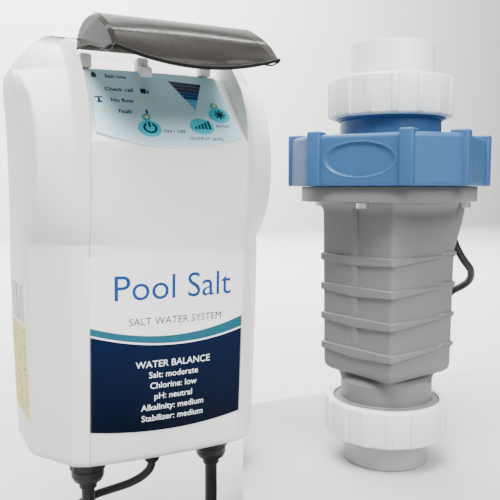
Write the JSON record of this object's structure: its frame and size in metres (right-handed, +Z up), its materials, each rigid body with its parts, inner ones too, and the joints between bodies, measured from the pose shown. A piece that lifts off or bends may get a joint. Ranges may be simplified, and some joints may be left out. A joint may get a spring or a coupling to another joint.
{
  "type": "salt chlorine generator",
  "caption": "Wall-mounted pool chlorinator control box with a smoked flip lid over its keypad, and a separate in-line electrolytic cell with union pipe ends.",
  "frame": {"origin": "centre of the wall bracket's back face", "axes": "+Y out of the controller's back into the wall, -Y towards the user, +Z up, +X to the user's right; the cell stands to the right"},
  "size_m": [0.4621, 0.229, 0.4256],
  "materials": {
    "white_plastic": "moulded, fine texture",
    "keypad_blue": "satin film",
    "teal_plastic": "satin",
    "smoked_plastic": "clear smoked, polished",
    "label_film": "printed film",
    "steel": "bare",
    "aluminium": "extruded",
    "copper": "enamelled wire",
    "circuit_board": "solder mask",
    "pale_grey_plastic": "moulded",
    "grey_plastic": "moulded, satin",
    "blue_plastic": "moulded, satin",
    "pipe_white": "moulded",
    "titanium": "coated, dull",
    "black_plastic": "moulded",
    "black_rubber": "matt"
  },
  "bodies": {
    "case_and_cell": {"wall_bracket": "steel", "rear_housing": "white_plastic", "housing_gasket": "black_rubber", "front_cover": "white_plastic", "keypad_panel": "keypad_blue", "light_guide": "pale_grey_plastic", "display_board": "circuit_board", "hinge_pin": "steel", "front_label": "label_film", "power_gland": "black_plastic", "cell_gland": "black_plastic", "sensor_grommet": "black_rubber", "cover_screw_1": "steel", "cover_screw_2": "steel", "cover_screw_3": "steel", "cover_screw_4": "steel", "power_board": "circuit_board", "transformer_core": "steel", "transformer_winding": "copper", "heat_sink": "aluminium", "cell_body": "grey_plastic", "cell_cap": "blue_plastic", "cap_seal": "black_rubber", "cap_screw_1": "steel", "cap_screw_2": "steel", "cap_screw_3": "steel", "cap_screw_4": "steel", "cell_inlet": "black_plastic", "top_union_ring": "black_rubber", "bottom_union_ring": "black_rubber", "electrode_carrier": "black_plastic", "electrode_plate_1": "titanium", "electrode_plate_2": "titanium", "electrode_plate_3": "titanium", "electrode_plate_4": "titanium", "terminal_post_1": "titanium", "terminal_post_2": "titanium", "flow_switch": "black_plastic", "power_cord": "black_rubber", "power_cord_coil": "black_rubber", "power_plug": "black_plastic", "cell_cable": "black_rubber", "cell_cable_coil": "black_rubber", "cell_connector": "black_plastic", "sensor_lead": "black_rubber", "sensor_lead_coil": "black_rubber", "sensor_connector": "black_plastic", "flow_lead": "black_rubber", "flow_lead_coil": "black_rubber", "flow_connector": "black_plastic"},
    "lid": {"smoked_lid": "smoked_plastic"},
    "power_key": {"power_button": "teal_plastic"},
    "output_key": {"output_button": "teal_plastic"},
    "boost_key": {"boost_button": "teal_plastic"},
    "top_pipe_end": {"top_tailpiece": "pipe_white"},
    "top_nut": {"top_union_nut": "pipe_white"},
    "bottom_pipe_end": {"bottom_tailpiece": "pale_grey_plastic"},
    "bottom_nut": {"bottom_union_nut": "pipe_white"},
    "paddle": {"flow_paddle": "pale_grey_plastic"}
  },
  "joints": [
    {"name": "lid_hinge", "type": "hinge", "parent": "case_and_cell", "child": "lid", "pos_m": [0, -0.082, 0.147], "axis": [1, 0, 0], "range_deg": [-25, 44]},
    {"name": "power_press", "type": "slide", "parent": "case_and_cell", "child": "power_key", "axis": [0, 0.7695, -0.6386], "range_m": [0, 0.0006], "stiffness_N_per_m": 1200},
    {"name": "output_press", "type": "slide", "parent": "case_and_cell", "child": "output_key", "axis": [0, 0.7695, -0.6386], "range_m": [0, 0.0006], "stiffness_N_per_m": 1200},
    {"name": "boost_press", "type": "slide", "parent": "case_and_cell", "child": "boost_key", "axis": [0, 0.7695, -0.6386], "range_m": [0, 0.0006], "stiffness_N_per_m": 1200},
    {"name": "top_pipe_lift", "type": "slide", "parent": "case_and_cell", "child": "top_pipe_end", "axis": [0, 0, 1], "range_m": [0, 0.012]},
    {"name": "top_nut_turn", "type": "hinge", "parent": "top_pipe_end", "child": "top_nut", "pos_m": [0.191, -0.123, 0.117], "axis": [0, 0, 1], "range_deg": [0, 1080]},
    {"name": "bottom_pipe_drop", "type": "slide", "parent": "case_and_cell", "child": "bottom_pipe_end", "axis": [0, 0, -1], "range_m": [0, 0.009]},
    {"name": "bottom_nut_turn", "type": "hinge", "parent": "bottom_pipe_end", "child": "bottom_nut", "pos_m": [0.191, -0.123, -0.147], "axis": [0, 0, -1], "range_deg": [0, 810]},
    {"name": "paddle_swing", "type": "hinge", "parent": "case_and_cell", "child": "paddle", "pos_m": [0.22415, -0.14416, 0.031], "axis": [-0.1874, 0.9823, 0], "range_deg": [-5, 20], "stiffness_Nm_per_rad": 0.004}
  ],
  "couplings": [
    {"joint": "top_pipe_lift", "follows": "top_nut_turn", "m_per_rad": 0.00063662},
    {"joint": "bottom_pipe_drop", "follows": "bottom_nut_turn", "m_per_rad": 0.00063662}
  ]
}
